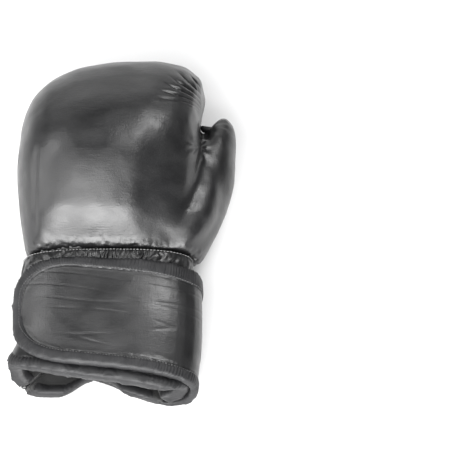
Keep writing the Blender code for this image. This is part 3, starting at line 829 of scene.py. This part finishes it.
# ---------------------------------------------------------------- strap


STRAP_FACES = ("strap_palm_face", "strap_side_face", "strap_end_face")
STRAP_TAPES = tuple(n for n in NODES if n.startswith("strap_") and n.endswith("tape"))
STRAP_CORES = ("strap_palm_core", "strap_side_core", "strap_end_core", "strap_anchor")
TONGUE_RADIUS = 48 * MM
SEWN_OUTSIDE = 0.9 * MM
# The strap's seams: the joint that each bends over, and its first and last angle round the cuff.
STRAP_SEAMS = (("strap_end_fold", -0.02, 4.0), ("strap_side_fold", -1.4, -0.06))
# The strap's face crowns by this much between its long edges.
STRAP_CROWN_MM = 1.6


def bent_across(piece):
    """Works the placement of a piece of the strap into its mesh."""
    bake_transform(piece)


def strap_line():
    """Angles round the cuff and the distances along the strap that they stand for."""
    tree = tree_of([*STRAP_FACES, *STRAP_TAPES])
    angles = np.radians(np.arange(-150.0, 175.0, 2.0))
    middle = chart(np.array([sum(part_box("strap_side_face"), Vector()) / 2]))[0][0]
    found = [(a, on_surface(tree, middle, a)[0]) for a in angles]
    found = [(a, p) for a, p in found if p is not None]
    steps = [0.0] + [(q - p).length for (_, p), (_, q) in zip(found, found[1:])]
    return np.array([a for a, _ in found]), np.cumsum(steps)


def face_outline(along, way, on_face, centre_along, centre_way):
    """Points (way, along) round the strap's face: its upper edge, its round end and its lower edge."""
    along, way = along[on_face], way[on_face]
    step = 4 * MM
    stops = np.arange(centre_way - 150 * MM, centre_way, step)
    upper, lower = [], []
    for stop in stops:
        near = np.abs(way - stop) < step
        if near.any():
            upper.append((stop, along[near].min() - SEWN_OUTSIDE))
            lower.append((stop, along[near].max() + SEWN_OUTSIDE))
    out = np.hypot(way - centre_way, along - centre_along)
    turn = np.arctan2(along - centre_along, way - centre_way)
    end = []
    for a in np.radians(np.arange(-84, 85, 6.0)):
        near = np.abs(turn - a) < math.radians(4)
        if near.any():
            r = out[near].max() + SEWN_OUTSIDE
            end.append((centre_way + r * math.cos(a), centre_along + r * math.sin(a)))
    route = np.array(upper + end + lower[::-1])
    blurred = [np.convolve(np.pad(route[:, c], 2, "edge"), np.ones(5) / 5, "valid") for c in (0, 1)]
    return np.stack(blurred, axis=1)


def sew_strap(form, outline, angles, ways):
    """Stitches along the inner edge of the strap's binding, in one piece for each length that folds."""
    tree = BVHTree.FromObject(form, bpy.context.evaluated_depsgraph_get())
    spots = [(np.interp(way, ways, angles), along) for way, along in outline]
    for name, first, last in STRAP_SEAMS:
        rows, row = [], []
        for angle, along in spots:
            if first < angle < last:
                row.append(on_surface(tree, along, angle))
            elif row:
                rows.append(row)
                row = []
        rows.append(row)
        piece = stitches(f"{name}_stitches", [r for r in rows if len(r) > 3], 2.3, 0.26, 0.12)
        dressed(piece, "thread", DARK_THREAD)
        bent_across(piece)


def make_strap():
    shape = welded([*STRAP_FACES, *STRAP_TAPES, *STRAP_CORES])
    form = object_from(shape, "strap_form")
    largest_part(remeshed(form, STRAP_VOXEL, 6))
    subdivided(form, 1)
    co, out = corners(form), normals(form)
    labels, apart = nearest_of(co, (STRAP_FACES, STRAP_TAPES, STRAP_CORES))
    apart /= MM
    along, angle = chart(co)
    angles, ways = strap_line()
    way = np.interp(angle, angles, ways)
    end = np.array([v.co for v in NODES["strap_end_face"].data.vertices])
    end_along, end_angle = chart(end)
    last_way = np.interp(end_angle, angles, ways).max()
    centre_way = last_way - TONGUE_RADIUS
    near = np.abs(np.interp(end_angle, angles, ways) - centre_way) < 12 * MM
    centre_along = (end_along[near].min() + end_along[near].max()) / 2
    round_end = np.arctan2(along - centre_along, way - centre_way)
    edge_way = np.where(
        way < centre_way, way, centre_way + TONGUE_RADIUS * (math.pi / 2 - np.abs(round_end))
    )
    height = 0.3 * noisy(co, 26 * MM, 1.0)
    height += np.where(labels == 1, ribs(co, edge_way / MM, 2.3, 0.26), 0.0)
    stretched = np.stack([way * 0.12, along * 1.0, 0 * way], axis=1)
    crease = np.abs(noisy(stretched, 13 * MM, 9.0)) + 0.25 * np.clip(noisy(co, 30 * MM, 5.0), 0, 1)
    height -= np.where(labels == 0, 0.22 * np.exp(-((crease / 0.06) ** 2)), 0.0)
    across = (along - end_along.mean()) / (end_along.max() - end_along.min()) * 2
    height += np.where(labels < 2, STRAP_CROWN_MM * (1 - across**2), 0.0) * eased((angle + 0.3) / 0.6)
    height -= 0.7 * np.exp(-(((apart[0] - apart[1]) / 0.8) ** 2)) * (apart[1] < 3)
    co += out * (height * MM)[:, None]
    co[:, 2] = np.maximum(co[:, 2], REST_GAP)
    place_corners(form, co)
    outline = face_outline(along, way, labels == 0, centre_along, centre_way)
    sew_strap(form, outline, angles, ways)
    divide_strap(form, face_labels(form, labels))


def divide_strap(form, labels):
    """Cuts the strap into its three folds, and each fold into face, binding and backing."""
    middles = np.array([f.center for f in form.data.polygons])
    turn = np.degrees(chart(middles)[1])
    turn = np.where(turn > 172, turn - 360, turn)
    third = np.where(turn < -83, 0, np.where(turn < -2, 1, 2))
    folds = ("sewn", "lower", "upper")
    layers = ("face", "binding", "backing")
    names = [f"strap_{fold}_{layer}" for fold in folds for layer in layers]
    slots = ("black_vinyl", "binding_tape", "strap_core")
    made = split_by(form, third * 3 + labels, names)
    stands_for = {
        "strap_sewn_face": ("strap_palm_face",),
        "strap_sewn_binding": ("strap_palm_upper_tape", "strap_palm_lower_tape"),
        "strap_sewn_backing": ("strap_palm_core", "strap_anchor"),
        "strap_lower_face": ("strap_side_face",),
        "strap_lower_binding": ("strap_side_upper_tape", "strap_side_lower_tape"),
        "strap_lower_backing": ("strap_side_core",),
        "strap_upper_face": ("strap_end_face",),
        "strap_upper_binding": ("strap_end_tape",),
        "strap_upper_backing": ("strap_end_core",),
    }
    for name, piece in made.items():
        fold, layer = divmod(names.index(name), 3)
        dressed(piece, slots[layer])
        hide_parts(*stands_for[name])
        bent_across(piece)


# ---------------------------------------------------------------- wrist


# The gathered strip: its first and last angle round the wrist in degrees, and its grid.
GATHER_ANGLES = (-14, 194)
GATHER_COLUMNS = 420
GATHER_ROWS = 14


def strap_top(angles):
    """How far along the cuff the strap's upper edge lies at each angle."""
    edge = np.array([v.co for n in STRAP_TAPES for v in NODES[n].data.vertices])
    along, angle = chart(edge)
    found = []
    for a in angles:
        apart = np.abs((angle - a + math.pi) % math.tau - math.pi)
        near = apart < math.radians(6)
        found.append(along[near].min() if near.any() else found[-1] if found else along.min())
    return np.convolve(np.pad(found, 10, "edge"), np.ones(21) / 21, "valid")


def wrist_spot(tree, angle, behind_mm):
    """A point of the surface that far behind the wrist seam, which lies straight across the arm."""
    seam_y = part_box("wrist_welt")[1].y
    along = -40 * MM
    for _ in range(4):
        place, normal = on_surface(tree, along, angle)
        if place is None:
            along += 4 * MM
            continue
        along += (place.y - seam_y) / math.cos(CUFF_TURN) + behind_mm * MM
    return place, normal, along


def gather_height(column, t):
    """How far the gathered strip stands out, at a column of its grid and a share of the way to the strap."""
    u = column * 0.36 + 2.5 * noise.noise(Vector((column * 0.05, t * 2.2, 1.7)))
    crumple = eased((noise.noise(Vector((column * 0.022, 0.4, 6.0))) + 0.35) / 0.5)
    fold = noise.noise(Vector((u * 0.24, t * 1.1, 3.1)))
    fine = noise.noise(Vector((u * 0.7, t * 2.4, 9.4)))
    crown = math.sin(math.pi * min(t * 1.35 + 0.04, 1)) ** 0.7
    puff = 1.1 + crumple * (3.4 * abs(fold) ** 0.8 - 0.7) + 0.6 * fine
    return (0.4 + crown * max(puff, 0.1)) * MM


def make_wrist():
    """The gathered strip under the wrist seam, and the pale stitches along its edge."""
    tree = tree_of(["cuff_cover"])
    first_angle, last_angle = GATHER_ANGLES
    angles = np.radians(np.linspace(first_angle, last_angle, GATHER_COLUMNS + 1))
    tops = strap_top(angles)
    shape = bmesh.new()
    grid, line = [], []
    for i, angle in enumerate(angles):
        place, normal, first = wrist_spot(tree, angle, 1.0)
        line.append((place, normal))
        last = max(tops[i] + 4 * MM, first + 5 * MM)
        strip = []
        for j in range(GATHER_ROWS + 1):
            t = j / GATHER_ROWS
            spot = on_surface(tree, first + (last - first) * t, angle)
            place, normal = spot if spot[0] is not None else (place, normal)
            strip.append(shape.verts.new(place + normal * gather_height(i, t)))
        grid.append(strip)
    for a, b in zip(grid, grid[1:]):
        for j in range(GATHER_ROWS):
            shape.faces.new((a[j], b[j], b[j + 1], a[j + 1]))
    bmesh.ops.recalc_face_normals(shape, faces=shape.faces)
    piece = object_from(shape, "wrist_gather")
    piece.data.shade_smooth()
    thickened(piece, 0.6 * MM)
    dressed(piece, "black_vinyl")
    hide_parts("wrist_welt")
    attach(piece, "glove_body")
    seam = stitches("wrist_stitches", [line[6:-6]], 2.6, 0.32, 1.3)
    dressed(seam, "thread")
    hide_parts("wrist_thread")
    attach(seam, "glove_body")


# A stitch's rings: how far along its pitch each lies, and its share of the thread's radius.
STITCH_RINGS = ((0.12, 0.35), (0.3, 1.0), (0.7, 1.0), (0.88, 0.35))
STITCH_DIP_MM = 0.45
THREAD_CORNERS = 6


def stitches(name, rows, pitch_mm, radius_mm, raised_mm):
    """Separate stitches along rows of points with normals."""
    shape = bmesh.new()
    for row in rows:
        row = [(p, n) for p, n in row if p is not None]
        steps = [(q - p).length / MM for (p, _), (q, _) in zip(row, row[1:])]
        ways = np.concatenate([[0.0], np.cumsum(steps)])
        values = np.array([[*p, *n] for p, n in row])
        for k in range(int(ways[-1] / pitch_mm)):
            add_stitch(shape, ways, values, k, pitch_mm, radius_mm, raised_mm)
    bmesh.ops.recalc_face_normals(shape, faces=shape.faces)
    piece = object_from(shape, name)
    piece.data.shade_smooth()
    return piece


def add_stitch(shape, ways, values, k, pitch_mm, radius_mm, raised_mm):
    """One stitch: a short thread whose ends dip into the surface."""
    rings = []
    for t, share in STITCH_RINGS:
        at = [np.interp((k + t) * pitch_mm, ways, values[:, c]) for c in range(6)]
        ahead = [np.interp((k + t + 0.05) * pitch_mm, ways, values[:, c]) for c in range(3)]
        spot, normal = Vector(at[:3]), Vector(at[3:]).normalized()
        forward = (Vector(ahead) - spot).normalized()
        side = normal.cross(forward).normalized()
        dip = raised_mm - (STITCH_DIP_MM if share < 1 else 0.0)
        centre = spot + normal * (dip * MM)
        ring = []
        for m in range(THREAD_CORNERS):
            a = math.tau * m / THREAD_CORNERS
            off = side * math.cos(a) + normal * math.sin(a)
            ring.append(shape.verts.new(centre + off * (radius_mm * share * MM)))
        rings.append(ring)
    lofted(shape, rings)


# ---------------------------------------------------------------- stage


# Soft boxes facing the glove: name, place, width, height and watts.
LIGHTS = (
    ("wrist_side", (-0.15, -1.3, 0.56), 1.5, 0.95, 60),
    ("overhead", (-0.2, -0.62, 1.25), 1.05, 0.7, 13),
    ("left", (-1.2, -0.2, 0.6), 1.1, 1.0, 11),
    ("far_side", (-0.2, 1.3, 0.55), 1.4, 0.7, 5),
    ("thumb_top", (0.5, 0.42, 1.25), 0.4, 0.55, 9),
    ("strap_top", (-0.85, 0.3, 1.15), 0.4, 0.35, 4),
)
LIGHTS_AIM = Vector((0.0, 0.0, 0.05))
AMBIENT = 0.09
CAMERA_AWAY = 2.04
FLOOR_DROP = 0.3 * MM


def area_light(name, place, width, height, power):
    light = bpy.data.lights.new(name, "AREA")
    light.energy = power
    light.shape = "RECTANGLE"
    light.size = width
    light.size_y = height
    made = bpy.data.objects.new(name, light)
    made.location = place
    made.rotation_euler = (LIGHTS_AIM - Vector(place)).to_track_quat("-Z", "Y").to_euler()
    bpy.context.scene.collection.objects.link(made)


def make_stage():
    shape = bmesh.new()
    bmesh.ops.create_grid(shape, x_segments=1, y_segments=1, size=6.0)
    floor = object_from(shape, "floor")
    floor.location.z = -FLOOR_DROP
    paint = Shader("floor", (0.8, 0.8, 0.8), 0.9, specular=0.1)
    floor.data.materials.append(paint.material)

    world = bpy.data.worlds.new("studio")
    world.use_nodes = True
    world.node_tree.nodes["Background"].inputs["Color"].default_value = (0.95, 0.97, 1.0, 1)
    world.node_tree.nodes["Background"].inputs["Strength"].default_value = AMBIENT
    bpy.context.scene.world = world
    bpy.context.scene.view_settings.view_transform = "Standard"
    for light in LIGHTS:
        area_light(*light)

    lens = bpy.data.cameras.new("camera")
    lens.lens = 200.0
    lens.sensor_width = 36.0
    camera = bpy.data.objects.new("camera", lens)
    camera.rotation_euler = (VIEW_TILT, 0, 0)
    centre = Vector((0.0877, 0.0044, 0.0)) + VIEW_UP * 0.0079 + VIEW_BACK * 0.05
    camera.location = centre + VIEW_BACK * CAMERA_AWAY
    bpy.context.scene.collection.objects.link(camera)
    bpy.context.scene.camera = camera


make_mitt()
make_cuff()
make_gusset()
make_wrist()
make_strap()
make_refined()
make_stage()
